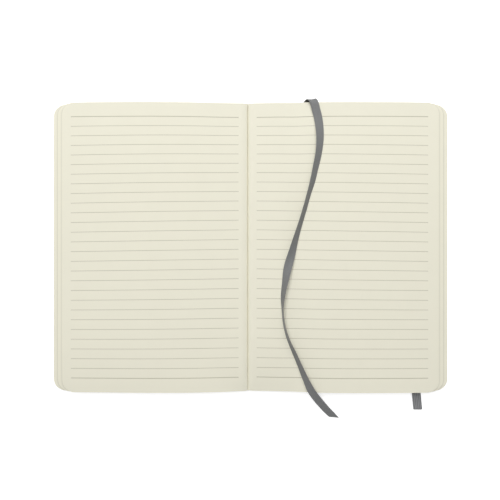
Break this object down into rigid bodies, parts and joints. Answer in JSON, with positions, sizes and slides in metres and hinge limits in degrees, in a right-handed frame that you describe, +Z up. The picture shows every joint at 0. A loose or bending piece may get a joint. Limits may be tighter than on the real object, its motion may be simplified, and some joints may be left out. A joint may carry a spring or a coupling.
{
  "type": "open soft-cover notebook",
  "caption": "Soft-cover ruled notebook lying open, its cover hinged at both folds of the spine, with a ribbon bookmark and an elastic closing band.",
  "frame": {"origin": "on the table, under the middle of the spine", "axes": "+X to the right-hand fore-edge, +Y to the head of the pages, +Z up from the table"},
  "size_m": [0.2908, 0.2357, 0.0145],
  "materials": {
    "cover": "soft matt artificial leather, grey",
    "endpaper": "cream paper",
    "lining": "woven spine lining with dried glue",
    "leaves": "uncoated cream paper, printed with grey rules",
    "elastic": "flat ribbed elastic, grey",
    "ribbon": "satin ribbon, grey"
  },
  "bodies": {
    "spine": {"spine_cover": "cover", "spine_lining": "lining"},
    "front": {"front_cover": "cover", "front_endpaper": "endpaper", "left_leaves": "leaves"},
    "back": {"back_cover": "cover", "back_endpaper": "endpaper", "right_leaves": "leaves", "elastic_band": "elastic", "ribbon_bookmark": "ribbon"}
  },
  "joints": [
    {"name": "front_fold", "type": "hinge", "parent": "spine", "child": "front", "pos_m": [-0.0064, 0, 0.001], "axis": [0, 1, 0], "range_deg": [0, 86], "deforming": ["left_leaves"]},
    {"name": "back_fold", "type": "hinge", "parent": "spine", "child": "back", "pos_m": [0.0064, 0, 0.001], "axis": [0, -1, 0], "range_deg": [0, 86], "deforming": ["right_leaves"]}
  ]
}
